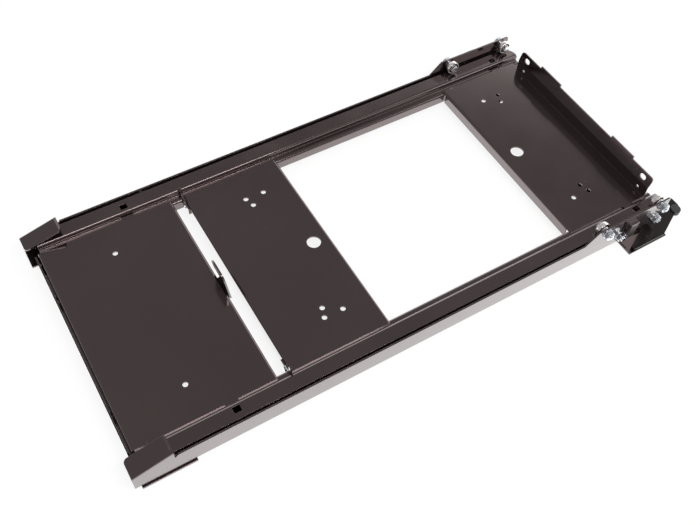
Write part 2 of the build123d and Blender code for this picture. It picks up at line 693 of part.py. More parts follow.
def lock_notch(travel):
    # The notch in the lip that the lock pin enters, at home or with the tray run out
    middle = LEVER_PIVOT_STATION + LOCK_PIN_OFFSET - travel
    half = LOCK_PIN / 2 + LOCK_CLEARANCE
    y_low = TRAY_LIP_Y - LOCK_DEPTH
    y_high = TRAY_LIP_Y + PAST
    z_high = TRAY_LIP_BOTTOM + SHEET + PAST
    return block(middle - half, middle + half, y_low, y_high, TRAY_LIP_BOTTOM - PAST, z_high)


# Tray plates
def flat_plate(start, end):
    return block(start, end, -PLATE_HALF, PLATE_HALF, PLATE_TOP - SHEET, PLATE_TOP)


def skirt(start):
    return block(start, start + SHEET, -PLATE_SKIRT_HALF, PLATE_SKIRT_HALF, PLATE_TOP - PLATE_SKIRT, PLATE_TOP)


def side_tabs(station):
    tabs = []
    for side in (-1, 1):
        tab = block(
            station - TAB_WIDTH / 2, station + TAB_WIDTH / 2,
            PLATE_HALF - PAST, TRAY_STEP_Y - BEND_INSIDE - TAB_GAP, PLATE_TOP - SHEET, PLATE_TOP,
        )
        tabs.append(on_side(tab, side))
    return tabs


def plate_hole(diameter, station, y):
    return upright(diameter, station, y, PLATE_TOP - SHEET - PAST, PLATE_TOP + PAST)


def bend_start(plate, station):
    # The bend where a plate turns down into the skirt at its back end
    plate = fillet(crosswise_edges(plate, [(station, PLATE_TOP)]), BEND_OUTSIDE)
    return fillet(crosswise_edges(plate, [(station + SHEET, PLATE_TOP - SHEET)]), BEND_INSIDE)


def bend_end(plate, station):
    plate = fillet(crosswise_edges(plate, [(station, PLATE_TOP)]), BEND_OUTSIDE)
    return fillet(crosswise_edges(plate, [(station - SHEET, PLATE_TOP - SHEET)]), BEND_INSIDE)


def hole_cluster(station, inner_offset):
    # Two holes on the outer line and one on the inner line, mirrored across the tray
    holes = []
    for side in (-1, 1):
        holes.append(plate_hole(FRIDGE_HOLE, station, side * OUTER_HOLE_Y))
        holes.append(plate_hole(FRIDGE_HOLE, station + HOLE_PAIR_PITCH, side * OUTER_HOLE_Y))
        holes.append(plate_hole(FRIDGE_HOLE, station + inner_offset, side * INNER_HOLE_Y))
    return holes


def back_plate():
    plate = flat_plate(TRAY_START, BACK_PLATE_END) + skirt(TRAY_START) + skirt(BACK_PLATE_END - SHEET)
    for tab in side_tabs(BACK_SQUARE_HOLE_STATION):
        plate += tab
    plate = bend_end(bend_start(plate, TRAY_START), BACK_PLATE_END)
    for side in (-1, 1):
        plate -= plate_hole(FRIDGE_HOLE, BACK_HOLE_STATION, side * OUTER_HOLE_Y)
    half = FINGER_ARM_WIDTH / 2 + FINGER_NOTCH_CLEARANCE
    plate -= block(
        BACK_PLATE_END - SHEET - PAST, BACK_PLATE_END + PAST,
        FINGER_TAB_Y - half, FINGER_TAB_Y + half, 0, PLATE_TOP - 2 * SHEET,
    )
    return plate


def middle_plate():
    plate = flat_plate(MIDDLE_PLATE_START, MIDDLE_PLATE_END)
    plate += skirt(MIDDLE_PLATE_START)
    plate += skirt(MIDDLE_PLATE_END - SHEET)
    plate = bend_end(bend_start(plate, MIDDLE_PLATE_START), MIDDLE_PLATE_END)
    for hole in hole_cluster(MIDDLE_HOLE_STATION, MIDDLE_INNER_HOLE_OFFSET):
        plate -= hole
    plate -= plate_hole(HAND_HOLE, MIDDLE_HAND_HOLE_STATION, 0)
    rivet_hole = Cylinder(RIVET / 2, SHEET + 2 * PAST, rotation=(0, 90, 0))
    for y in (-hook_rivet_y(), hook_rivet_y()):
        plate -= Pos(along(MIDDLE_PLATE_START + SHEET / 2), y, hook_rivet_z()) * rivet_hole
    return plate


def front_plate():
    plate = flat_plate(FRONT_PLATE_START, FRONT_PLATE_END) + skirt(FRONT_PLATE_START)
    for tab in side_tabs(FRONT_SQUARE_HOLE_STATION):
        plate += tab
    plate = bend_start(plate, FRONT_PLATE_START)
    plate += upstand()
    for hole in hole_cluster(FRONT_HOLE_STATION, FRONT_INNER_HOLE_OFFSET):
        plate -= hole
    plate -= plate_hole(HAND_HOLE, FRONT_HAND_HOLE_STATION, 0)
    return plate


def upstand():
    # A vertical strip, then a strip that leans away from the fridge, with two raised crests
    back = FRONT_PLATE_END - SHEET
    y_low = UPSTAND_OFFSET - UPSTAND_HALF
    y_high = UPSTAND_OFFSET + UPSTAND_HALF
    fold = PLATE_TOP + UPSTAND_HEIGHT
    wall = block(back, FRONT_PLATE_END, y_low, y_high, PLATE_TOP - SHEET, fold)
    for y in (UPSTAND_OFFSET - HANDLE_HOLE_OFFSET, UPSTAND_OFFSET + HANDLE_HOLE_OFFSET):
        hole = Cylinder(SMALL_HOLE / 2, SHEET + 2 * PAST, rotation=(0, 90, 0))
        wall -= Pos(along(back + SHEET / 2), y, PLATE_TOP + SMALL_HOLE_HEIGHT) * hole
    lean = Pos(along(back), 0, fold) * Rot(0, UPSTAND_LEAN, 0)
    return wall + lean * leaning_strip(y_low, y_high)


def leaning_strip(y_low, y_high):
    # Drawn upright with its back face on X = 0 and its fold on Z = 0
    middle = (y_low + y_high) / 2
    strip = Pos(SHEET / 2, middle, UPSTAND_TOP_LENGTH / 2) * Box(SHEET, y_high - y_low, UPSTAND_TOP_LENGTH)
    top_corners = [edge for edge in strip.edges().filter_by(Axis.X) if edge.center().Z > 1]
    strip = fillet(top_corners, UPSTAND_CORNER)
    for y in (middle - CREST_OFFSET, middle + CREST_OFFSET):
        height = UPSTAND_TOP_LENGTH + CREST_HEIGHT
        strip += Pos(SHEET / 2, y, height / 2) * Box(SHEET, CREST_WIDTH, height)
    for y in (middle - HANDLE_HOLE_OFFSET, middle + HANDLE_HOLE_OFFSET):
        face = SlotOverall(HANDLE_HOLE_WIDTH, HANDLE_HOLE_HEIGHT)
        wall = Plane(origin=(-PAST, y, UPSTAND_TOP_LENGTH / 2), x_dir=(0, 1, 0), z_dir=(1, 0, 0))
        strip -= extrude(wall * face, SHEET + 2 * PAST)
    return strip


# Strap hooks
def hook_rivet_y():
    return PLATE_HALF - HOOK_LENGTH / 2


def hook_rivet_z():
    return PLATE_TOP - BEND_OUTSIDE - HOOK_STRIP / 2


def strap_hook(side):
    # A strip on the plate's skirt, a bridge over the rail's ledge and a prong that points up
    front = MIDDLE_PLATE_START
    back = front - SHEET
    strip_end = TRAY_WEB_INSIDE_Y - HOOK_WEB_GAP
    bridge_low = LEDGE_TOP + HOOK_LEDGE_GAP
    bridge_high = bridge_low + HOOK_BRIDGE
    strip_high = hook_rivet_z() + HOOK_STRIP / 2
    strip = block(back, front, PLATE_HALF - HOOK_LENGTH, strip_end, strip_high - HOOK_STRIP, strip_high)
    neck = block(back, front, strip_end - HOOK_PRONG_WIDTH, strip_end, strip_high - PAST, bridge_high)
    bridge = block(back, front, strip_end - HOOK_PRONG_WIDTH, HOOK_PRONG_Y, bridge_low, bridge_high)
    prong = block(back, front, HOOK_PRONG_Y - HOOK_PRONG_WIDTH, HOOK_PRONG_Y, bridge_low, PLATE_TOP + HOOK_PRONG_HEIGHT)
    hook = strip + neck + bridge + prong
    hole = Cylinder(RIVET / 2, SHEET + 2 * PAST, rotation=(0, 90, 0))
    hook -= Pos(along(back + SHEET / 2), hook_rivet_y(), hook_rivet_z()) * hole
    return on_side(hook, side)


def strap_hook_rivet(side):
    back = MIDDLE_PLATE_START - SHEET - RIVET_HEAD_HEIGHT
    front = MIDDLE_PLATE_START + SHEET + RIVET_HEAD_HEIGHT
    length = front - back
    shank = Cylinder(RIVET / 2, length - 2 * RIVET_HEAD_HEIGHT, rotation=(0, 90, 0))
    head = Cylinder(RIVET_HEAD / 2, RIVET_HEAD_HEIGHT, rotation=(0, 90, 0))
    rivet = Pos(along((back + front) / 2), 0, 0) * shank
    rivet += Pos(along(back + RIVET_HEAD_HEIGHT / 2), 0, 0) * head
    rivet += Pos(along(front - RIVET_HEAD_HEIGHT / 2), 0, 0) * head
    return on_side(Pos(0, hook_rivet_y(), hook_rivet_z()) * rivet, side)


# Back latch
def latch_bar():
    half = DOG_INSIDE_Y + DOG_THICKNESS
    return crosswise(LATCH_BAR, LATCH_STATION, -half, half, LATCH_HEIGHT)


def latch_dog(side):
    # The tip rides just over the rail foot and drops into its slot when the dog swings down
    hub_low = TRAY_WEB_INSIDE_Y + SHEET + LATCH_SIDE_GAP
    y_high = DOG_INSIDE_Y + DOG_THICKNESS
    tip = LATCH_STATION - DOG_REACH
    points = [
        (tip, DOG_TIP_BOTTOM),
        (tip + DOG_TIP_LENGTH, DOG_TIP_BOTTOM),
        (LATCH_STATION + DOG_HUB * 0.3, LATCH_HEIGHT - DOG_HUB * 0.4),
        (LATCH_STATION - DOG_HUB * 0.3, LATCH_HEIGHT + DOG_HUB * 0.4),
        (tip, DOG_TIP_BOTTOM + DOG_TIP_LENGTH),
    ]
    dog = side_outline(points, y_high, DOG_THICKNESS)
    dog += crosswise(DOG_HUB, LATCH_STATION, hub_low, y_high, LATCH_HEIGHT)
    dog -= crosswise(LATCH_BAR, LATCH_STATION, hub_low - PAST, y_high + PAST, LATCH_HEIGHT)
    return on_side(dog, side)


def finger_tab():
    # An arm from the bar under the back plate, then a tab that rises through the gap
    foot = LATCH_STATION + FINGER_TAB_REACH
    top = foot - FINGER_TAB_LEAN
    half = SHEET / 2
    tab_points = [
        (foot - half, FINGER_TAB_BOTTOM),
        (foot + half, FINGER_TAB_BOTTOM),
        (top + half, FINGER_TAB_TOP),
        (top - half, FINGER_TAB_TOP),
    ]
    y_high = FINGER_TAB_Y + FINGER_TAB_WIDTH / 2
    tab = side_outline(tab_points, y_high, FINGER_TAB_WIDTH)
    tab = tab & finger_tab_front()
    arm_y = FINGER_TAB_Y + FINGER_ARM_WIDTH / 2
    arm_points = [
        (LATCH_STATION, LATCH_HEIGHT - half),
        (foot, LATCH_HEIGHT - half - FINGER_ARM_DROP),
        (foot, LATCH_HEIGHT + half - FINGER_ARM_DROP),
        (LATCH_STATION, LATCH_HEIGHT + half),
    ]
    arm = side_outline(arm_points, arm_y, FINGER_ARM_WIDTH)
    hub_low = FINGER_TAB_Y - FINGER_ARM_WIDTH / 2
    hub = crosswise(DOG_HUB, LATCH_STATION, hub_low, arm_y, LATCH_HEIGHT)
    lever = tab + arm + hub
    return lever - crosswise(LATCH_BAR, LATCH_STATION, hub_low - PAST, arm_y + PAST, LATCH_HEIGHT)


def finger_tab_front():
    # The tab's outline seen from the front, with a rounded top and a small hole
    height = FINGER_TAB_TOP - FINGER_TAB_BOTTOM
    middle = (FINGER_TAB_TOP + FINGER_TAB_BOTTOM) / 2
    outline = Box(4 * FINGER_TAB_REACH, FINGER_TAB_WIDTH, height)
    top_corners = [edge for edge in outline.edges().filter_by(Axis.X) if edge.center().Z > 1]
    outline = fillet(top_corners, FINGER_TAB_CORNER)
    hole = Cylinder(FINGER_HOLE / 2, 5 * FINGER_TAB_REACH, rotation=(0, 90, 0))
    outline -= Pos(0, FINGER_HOLE_Y, height / 2 - FINGER_HOLE_DROP) * hole
    return Pos(along(LATCH_STATION), FINGER_TAB_Y, middle) * outline


# Stops
def home_bumper(y):
    face = STRAP_SETBACK + SHEET
    disc = Cylinder(BUMPER / 2, BUMPER_THICKNESS, rotation=(0, 90, 0))
    stem = Cylinder(BUMPER_STEM / 2, SHEET, rotation=(0, 90, 0))
    bumper = Pos(along(face + BUMPER_THICKNESS / 2), y, BUMPER_HEIGHT) * disc
    return bumper + Pos(along(face - SHEET / 2), y, BUMPER_HEIGHT) * stem


def base_stop(side):
    z_high = FLANGE_BOTTOM - STOP_FLANGE_GAP
    z_low = z_high - STOP_BLOCK_HEIGHT
    stop = block(STOP_STATION, STOP_STATION + STOP_LENGTH, STOP_INSIDE_Y, RAIL_INSIDE_Y, z_low, z_high)
    return on_side(stop, side)


def tray_stop_end():
    return STOP_STATION - TRAY_TRAVEL - STOP_GAP


def tray_stop(side):
    end = tray_stop_end() - STOP_PAD
    z_low = FLANGE_BOTTOM - STOP_BLOCK_HEIGHT
    stop = block(end - STOP_LENGTH, end, STOP_INSIDE_Y, TRAY_FLANGE_Y, z_low, FLANGE_BOTTOM)
    return on_side(stop, side)


def stop_pad(side):
    end = tray_stop_end()
    y_low = STOP_INSIDE_Y + STOP_PAD_INSET
    y_high = TRAY_FLANGE_Y - STOP_PAD_INSET
    z_low = FLANGE_BOTTOM - STOP_BLOCK_HEIGHT + STOP_PAD_INSET
    pad = block(end - STOP_PAD, end, y_low, y_high, z_low, FLANGE_BOTTOM - STOP_PAD_INSET)
    return on_side(pad, side)


# Front lock lever, drawn on the right and mirrored to the left
def lever_outline():
    lean = 1 / math.tan(math.radians(LEVER_SIDE_ANGLE))
    chamfer_y = LEVER_INSIDE_Y + LEVER_END_WIDTH
    paddle_end = LEVER_END_STATION - (LEVER_OUTSIDE_Y - chamfer_y) * lean
    wall_station = LEVER_PADDLE_START + (LEVER_OUTSIDE_Y - RAIL_INSIDE_Y) * lean
    boss = LEVER_PIVOT_Y - LEVER_INSIDE_Y
    return [
        (LEVER_PADDLE_START, LEVER_OUTSIDE_Y),
        (paddle_end, LEVER_OUTSIDE_Y),
        (LEVER_END_STATION, chamfer_y),
        (LEVER_END_STATION, LEVER_INSIDE_Y),
        (LEVER_PIVOT_STATION, LEVER_INSIDE_Y),
        (LEVER_PIVOT_STATION - boss, LEVER_PIVOT_Y),
        (LEVER_PIVOT_STATION - boss * 0.7, LEVER_PIVOT_Y + boss * 0.7),
        (wall_station, RAIL_INSIDE_Y),
    ]


def lever_grip_spot():
    # The grip is pushed over the slanted outer edge, near the end of the lever
    lean = math.tan(math.radians(LEVER_SIDE_ANGLE))
    station = LEVER_END_STATION - LEVER_GRIP_SETBACK
    edge_y = LEVER_INSIDE_Y + LEVER_END_WIDTH + LEVER_GRIP_SETBACK * lean
    return station, edge_y - LEVER_GRIP_INSET


def lock_lever():
    lever = plan_outline(lever_outline(), LEVER_BOTTOM, SHEET)
    lever += upright(
        2 * (LEVER_PIVOT_Y - LEVER_INSIDE_Y), LEVER_PIVOT_STATION, LEVER_PIVOT_Y, LEVER_BOTTOM, LEVER_TOP,
    )
    ends = []
    for edge in lever.edges().filter_by(Axis.Z):
        middle = edge.center()
        if middle.X > along(LEVER_END_STATION) - 0.1 or middle.Y > LEVER_OUTSIDE_Y - 0.1:
            ends.append(edge)
    lever = fillet(ends, LEVER_CORNER)
    hole = LEVER_PIVOT + 2 * LEVER_PIVOT_FIT
    lever -= upright(hole, LEVER_PIVOT_STATION, LEVER_PIVOT_Y, 0, LEVER_TOP + PAST)
    return on_side(lever, -1)


def lock_pin():
    y = TRAY_LIP_Y + LOCK_PIN_GAP + LOCK_PIN / 2
    pin = upright(LOCK_PIN, LEVER_PIVOT_STATION + LOCK_PIN_OFFSET, y, LEVER_TOP, LOCK_PIN_TOP)
    return on_side(pin, -1)


def lever_grip():
    station, y = lever_grip_spot()
    grip = upright(LEVER_GRIP, station, y, LEVER_BOTTOM - LEVER_GRIP_BELOW, LEVER_TOP + LEVER_GRIP_ABOVE)
    grip = fillet(grip.edges().filter_by(GeomType.CIRCLE), LEVER_GRIP_CORNER)
    return on_side(grip, -1) - lock_lever()


def lever_pivot_stud():
    top = LEVER_TOP + LEVER_RING_THICKNESS + LEVER_STUD_TIP
    return on_side(upright(LEVER_PIVOT, LEVER_PIVOT_STATION, LEVER_PIVOT_Y, 0, top), -1)


def lever_wave_washer():
    washer = upright(WAVE_WASHER, LEVER_PIVOT_STATION, LEVER_PIVOT_Y, FOOT_TOP, LEVER_BOTTOM)
    washer -= upright(LEVER_PIVOT, LEVER_PIVOT_STATION, LEVER_PIVOT_Y, 0, LEVER_TOP)
    return on_side(washer, -1)


def lever_ring():
    low = LEVER_TOP + LEVER_RING_GAP
    ring = upright(LEVER_RING, LEVER_PIVOT_STATION, LEVER_PIVOT_Y, low, low + LEVER_RING_THICKNESS)
    ring -= upright(LEVER_PIVOT, LEVER_PIVOT_STATION, LEVER_PIVOT_Y, 0, low + LEVER_RING_THICKNESS + PAST)
    return on_side(ring, -1)


def save(name, shapes):
    # One file for each sub-part, with like fasteners as separate solids in one file
    solids = []
    for shape in shapes:
        solids.extend(shape.solids())
    for solid in solids:
        if not solid.is_valid:
            print("not valid:", name)
    piece = solids[0] if len(solids) == 1 else Compound(children=solids)
    piece.label = name
    export_step(piece, f"parts/{name}.step")


def build():
    os.makedirs("parts", exist_ok=True)
    places = roller_places()
    upper = [place[1:] for place in places if "upper" in place[0]]
    lower = [place[1:] for place in places if "lower" in place[0]]
    everywhere = upper + lower
    for side, name in ((-1, "left"), (1, "right")):
        save(f"{name}_base_rail", [base_rail(side)])
        save(f"{name}_tray_rail", [tray_rail(side)])
        save(f"{name}_latch_dog", [latch_dog(side)])
        save(f"{name}_tray_roller", [outer_race(TRAY_ROLLER_STATION, side, TRAY_ROLLER_Z)])
    save("back_cross_strap", [back_strap()])
    save("front_cross_strap", [front_strap()])
    for name, station, side, height in places:
        save(f"{name}_roller", [outer_race(station, side, height)])
    save("roller_inner_races", [inner_race(*place) for place in everywhere])
    save("upper_roller_bolts", [roller_bolt(*place) for place in upper])
    save("lower_roller_bolts", [roller_bolt(*place) for place in lower])
    save("roller_spacers", [roller_spacer(*place) for place in everywhere])
    save("roller_washers", [roller_washer(*place) for place in everywhere])
    save("roller_nuts", [roller_nut(*place) for place in everywhere])
    sides = (-1, 1)
    save("tray_roller_inner_races", [inner_race(TRAY_ROLLER_STATION, side, TRAY_ROLLER_Z) for side in sides])
    save("tray_roller_bolts", [tray_roller_bolt(side) for side in sides])
    save("tray_roller_spacers", [tray_roller_spacer(side) for side in sides])
    save("tray_roller_nuts", [tray_roller_nut(side) for side in sides])
    save("back_plate", [back_plate()])
    save("middle_plate", [middle_plate()])
    save("front_plate", [front_plate()])
    save("strap_hooks", [strap_hook(side) for side in sides])
    save("strap_hook_rivets", [strap_hook_rivet(side) for side in sides])
    save("latch_bar", [latch_bar()])
    save("finger_tab", [finger_tab()])
    save("wall_lugs", [wall_lug(side) for side in sides])
    save("home_bumpers", [home_bumper(y) for y in (-BUMPER_Y, BUMPER_Y)])
    save("base_stops", [base_stop(side) for side in sides])
    save("tray_stops", [tray_stop(side) for side in sides])
    save("tray_stop_pads", [stop_pad(side) for side in sides])
    save("lock_lever", [lock_lever()])
    save("lock_pin", [lock_pin()])
    save("lever_grip", [lever_grip()])
    save("lever_pivot_stud", [lever_pivot_stud()])
    save("lever_wave_washer", [lever_wave_washer()])
    save("lever_retaining_ring", [lever_ring()])


build()
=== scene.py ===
import bmesh
import bpy
import math
from mathutils import Matrix, Vector


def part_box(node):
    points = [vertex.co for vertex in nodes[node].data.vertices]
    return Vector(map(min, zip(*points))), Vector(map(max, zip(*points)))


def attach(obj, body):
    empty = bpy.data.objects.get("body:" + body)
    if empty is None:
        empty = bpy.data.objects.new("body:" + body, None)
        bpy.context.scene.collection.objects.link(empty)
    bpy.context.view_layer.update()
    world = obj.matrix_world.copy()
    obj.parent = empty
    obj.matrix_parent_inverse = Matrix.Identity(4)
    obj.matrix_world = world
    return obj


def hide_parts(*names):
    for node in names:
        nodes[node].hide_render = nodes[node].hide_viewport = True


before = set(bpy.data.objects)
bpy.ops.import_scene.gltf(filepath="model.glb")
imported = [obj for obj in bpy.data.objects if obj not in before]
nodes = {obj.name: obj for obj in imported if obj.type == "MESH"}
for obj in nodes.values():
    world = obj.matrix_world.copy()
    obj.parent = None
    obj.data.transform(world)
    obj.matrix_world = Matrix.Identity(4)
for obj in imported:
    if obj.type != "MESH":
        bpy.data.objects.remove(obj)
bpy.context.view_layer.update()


# Cross straps: two flat bars of 3 mm steel that tie the fixed rails together and take the
# bolts into the floor. They are laser cut, the back one is bent up as a stop, and both are
# powder coated a smooth brown-black with a slight orange peel and a glassy top coat.
STRAP_COAT = {
    "Dark colour": (0.0065, 0.0040, 0.0038, 1),
    "Light colour": (0.0125, 0.0082, 0.0078, 1),
    # The worn colour lightens the edges, as wear and as a painted edge highlight
    "Worn and highlit edge colour": (0.16, 0.14, 0.135, 1),
    "Dust colour": (0.34, 0.31, 0.29, 1),
    "Dust amount": 0.30,
    "Edge wear and highlight": 0.45,
    "Smooth": 0.13,
    "Rough": 0.24,
}
COAT_SHINE = {
    "IOR": 1.8,
    "Specular Tint": (1.0, 0.70, 0.71, 1),
    "Coat Weight": 1.0,
    "Coat IOR": 1.45,
    "Coat Roughness": 0.05,
}
FINE_PEEL = 0.00002
PEEL_STRENGTH = 0.5
PEEL_DETAIL = 2
PATCH_DETAIL = 4
PATCH_BLEND = (0.35, 0.65)
SPECK_EDGE = (0.026, 0.010)
ROUNDED_EDGE = 0.0008
ROUNDING_SAMPLES = 6
EDGE_TURN = (0.985, 0.80)
EDGE_BREAKUP_SCALE = 45.0
EDGE_BREAKUP_DETAIL = 3
EDGE_BREAKUP_BLEND = (0.30, 0.62)
HANDLED_SCALE = 11.0
HANDLED_DETAIL = 5
HANDLED_BLEND = (0.30, 0.72)


def surface_group():
    # Patches, specks, fine peel and slightly rounded edges that are lightened as wear and as
    # a painted edge highlight, for every finish here
    group = bpy.data.node_groups.new("Worked surface", "ShaderNodeTree")
    inputs = (
        ("Dark colour", "NodeSocketColor", (0.02, 0.02, 0.02, 1)),
        ("Light colour", "NodeSocketColor", (0.04, 0.04, 0.04, 1)),
        ("Worn and highlit edge colour", "NodeSocketColor", (0.3, 0.3, 0.3, 1)),
        ("Dust colour", "NodeSocketColor", (0.3, 0.3, 0.3, 1)),
        ("Dust amount", "NodeSocketFloat", 0.0),
        ("Dust scale", "NodeSocketFloat", 26.0),
        ("Patch scale", "NodeSocketFloat", 6.0),
        ("Peel scale", "NodeSocketFloat", 600.0),
        ("Edge wear and highlight", "NodeSocketFloat", 0.0),
        ("Smooth", "NodeSocketFloat", 0.2),
        ("Rough", "NodeSocketFloat", 0.3),
    )
    for name, kind, value in inputs:
        socket = group.interface.new_socket(name, in_out="INPUT", socket_type=kind)
        socket.default_value = value
    outputs = (
        ("Colour", "NodeSocketColor"),
        ("Roughness", "NodeSocketFloat"),
        ("Height", "NodeSocketFloat"),
        ("Normal", "NodeSocketVector"),
    )
    for name, kind in outputs:
        group.interface.new_socket(name, in_out="OUTPUT", socket_type=kind)
    link = group.links.new
    given = group.nodes.new("NodeGroupInput").outputs
    out = group.nodes.new("NodeGroupOutput").inputs
    place = group.nodes.new("ShaderNodeTexCoord").outputs["Object"]

    def spread(value, low, high):
        node = group.nodes.new("ShaderNodeMapRange")
        node.inputs["From Min"].default_value = low
        node.inputs["From Max"].default_value = high
        link(value, node.inputs["Value"])
        return node.outputs["Result"]

    def product(first, second):
        node = group.nodes.new("ShaderNodeMath")
        node.operation = "MULTIPLY"
        link(first, node.inputs[0])
        link(second, node.inputs[1])
        return node.outputs["Value"]

    def mixed(kind, factor, first, second):
        node = group.nodes.new("ShaderNodeMix")
        node.data_type = kind
        link(factor, node.inputs["Factor"])
        low, high = [
            socket for socket in node.inputs if socket.enabled and socket.name in ("A", "B")
        ]
        link(first, low)
        link(second, high)
        return [socket for socket in node.outputs if socket.enabled][0]

    def noise(scale, detail):
        node = group.nodes.new("ShaderNodeTexNoise")
        node.inputs["Detail"].default_value = detail
        link(place, node.inputs["Vector"])
        if isinstance(scale, float):
            node.inputs["Scale"].default_value = scale
        else:
            link(scale, node.inputs["Scale"])
        return node.outputs["Fac"]

    patches = spread(noise(given["Patch scale"], PATCH_DETAIL), *PATCH_BLEND)
    colour = mixed("RGBA", patches, given["Dark colour"], given["Light colour"])
    specks = group.nodes.new("ShaderNodeTexVoronoi")
    link(place, specks.inputs["Vector"])
    link(given["Dust scale"], specks.inputs["Scale"])
    dust = product(spread(specks.outputs["Distance"], *SPECK_EDGE), given["Dust amount"])
    colour = mixed("RGBA", dust, colour, given["Dust colour"])
    rounded = group.nodes.new("ShaderNodeBevel")
    rounded.samples = ROUNDING_SAMPLES
    rounded.inputs["Radius"].default_value = ROUNDED_EDGE
    flat = group.nodes.new("ShaderNodeNewGeometry")
    turn = group.nodes.new("ShaderNodeVectorMath")
    turn.operation = "DOT_PRODUCT"
    link(rounded.outputs["Normal"], turn.inputs[0])
    link(flat.outputs["Normal"], turn.inputs[1])
    edge_breakup = spread(noise(EDGE_BREAKUP_SCALE, EDGE_BREAKUP_DETAIL), *EDGE_BREAKUP_BLEND)
    # Edges are lightened with a lighter colour, broken up by noise: partly wear, partly a
    # painted highlight along the edges
    edge = product(spread(turn.outputs["Value"], *EDGE_TURN), edge_breakup)
    worn_and_highlit = product(edge, given["Edge wear and highlight"])
    link(mixed("RGBA", worn_and_highlit, colour, given["Worn and highlit edge colour"]), out["Colour"])
    handled = spread(noise(HANDLED_SCALE, HANDLED_DETAIL), *HANDLED_BLEND)
    link(mixed("FLOAT", handled, given["Smooth"], given["Rough"]), out["Roughness"])
    link(noise(given["Peel scale"], PEEL_DETAIL), out["Height"])
    link(rounded.outputs["Normal"], out["Normal"])
    return group


def finish_material(name, values, shine, peel_depth):
    # A material that takes its colour, roughness and normal from the shared surface group
    material = bpy.data.materials.new(name)
    material.use_nodes = True
    tree = material.node_tree
    shader = tree.nodes["Principled BSDF"]
    surface = tree.nodes.new("ShaderNodeGroup")
    surface.node_tree = bpy.data.node_groups.get("Worked surface") or surface_group()
    for key, value in values.items():
        surface.inputs[key].default_value = value
    for key, value in shine.items():
        shader.inputs[key].default_value = value
    bump = tree.nodes.new("ShaderNodeBump")
    bump.inputs["Distance"].default_value = peel_depth
    bump.inputs["Strength"].default_value = PEEL_STRENGTH
    tree.links.new(surface.outputs["Height"], bump.inputs["Height"])
    tree.links.new(surface.outputs["Normal"], bump.inputs["Normal"])
    tree.links.new(bump.outputs["Normal"], shader.inputs["Normal"])
    tree.links.new(surface.outputs["Colour"], shader.inputs["Base Color"])
    tree.links.new(surface.outputs["Roughness"], shader.inputs["Roughness"])
    return material


def coat(material, *names):
    for name in names:
        for slot in nodes[name].material_slots:
            slot.material = material


strap_coat = finish_material("powder coat on the straps", STRAP_COAT, COAT_SHINE, FINE_PEEL)
coat(strap_coat, "back_cross_strap", "front_cross_strap")


# Fixed rails: two lengths of 3 mm steel bent to an L. The wall is raised at the front to
# carry the rollers, and at the back end it is bent in as a flap that holds the tray down.
# They are powder coated, scuffed a little more than the tray because boots meet them, and
# their lightened edges are also a painted edge highlight.
RAIL_COAT = dict(STRAP_COAT, **{"Edge wear and highlight": 0.55, "Patch scale": 5.0, "Dust amount": 0.22})
rail_coat = finish_material(
    "powder coat on the fixed rails", RAIL_COAT, COAT_SHINE, FINE_PEEL
)
coat(rail_coat, "left_base_rail", "right_base_rail")


# Strap lugs: small blocks of steel welded to the outside of the raised walls, with a slot
# for the webbing of a tie-down strap. The coat is duller where the webbing rubs.
LUG_COAT = dict(
    STRAP_COAT, **{"Smooth": 0.26, "Rough": 0.42, "Edge wear and highlight": 0.8, "Patch scale": 40.0}
)
LUG_PEEL = 0.00006
lug_coat = finish_material("powder coat on the strap lugs", LUG_COAT, COAT_SHINE, LUG_PEEL)
coat(lug_coat, "wall_lugs")


# Tray rails: 3 mm steel bent four times, with a top flange that runs between the rollers,
# a step down, a ledge that the plates are welded to, a web and a lip. Powder coated.
TRAY_COAT = dict(STRAP_COAT, **{"Edge wear and highlight": 0.5, "Patch scale": 7.0})
tray_coat = finish_material("powder coat on the tray rails", TRAY_COAT, COAT_SHINE, FINE_PEEL)
coat(tray_coat, "left_tray_rail", "right_tray_rail")


# Tray plates: three pressings of 3 mm sheet with turned-down skirts, welded to the ledges
# of the tray rails. The front one is turned up as the upstand with the two handle holes.
# Their coat is the smoothest here, with faint smears and specks of dust on the flats.
PLATE_COAT = dict(
    STRAP_COAT, **{"Patch scale": 4.0, "Dust amount": 0.45, "Dust scale": 19.0, "Rough": 0.20}
)
plate_coat = finish_material("powder coat on the plates", PLATE_COAT, COAT_SHINE, FINE_PEEL)
coat(plate_coat, "back_plate", "middle_plate", "front_plate")


# Strap hooks: cut from sheet with an upright prong each, powder coated with the tray and
# held on the back skirt of the middle plate by one zinc-plated rivet each.
ZINC = {
    "Dark colour": (0.46, 0.49, 0.53, 1),
    "Light colour": (0.70, 0.72, 0.74, 1),
    # The worn colour lightens the edges, as wear and as a painted edge highlight
    "Worn and highlit edge colour": (0.78, 0.78, 0.78, 1),
    "Dust colour": (0.35, 0.33, 0.30, 1),
    "Patch scale": 90.0,
    "Peel scale": 1500.0,
    "Edge wear and highlight": 0.6,
    "Smooth": 0.10,
    "Rough": 0.24,
}
METAL_SHINE = {"Metallic": 1.0}
zinc = finish_material("bright zinc plate", ZINC, METAL_SHINE, FINE_PEEL)
coat(tray_coat, "strap_hooks")
coat(zinc, "strap_hook_rivets")


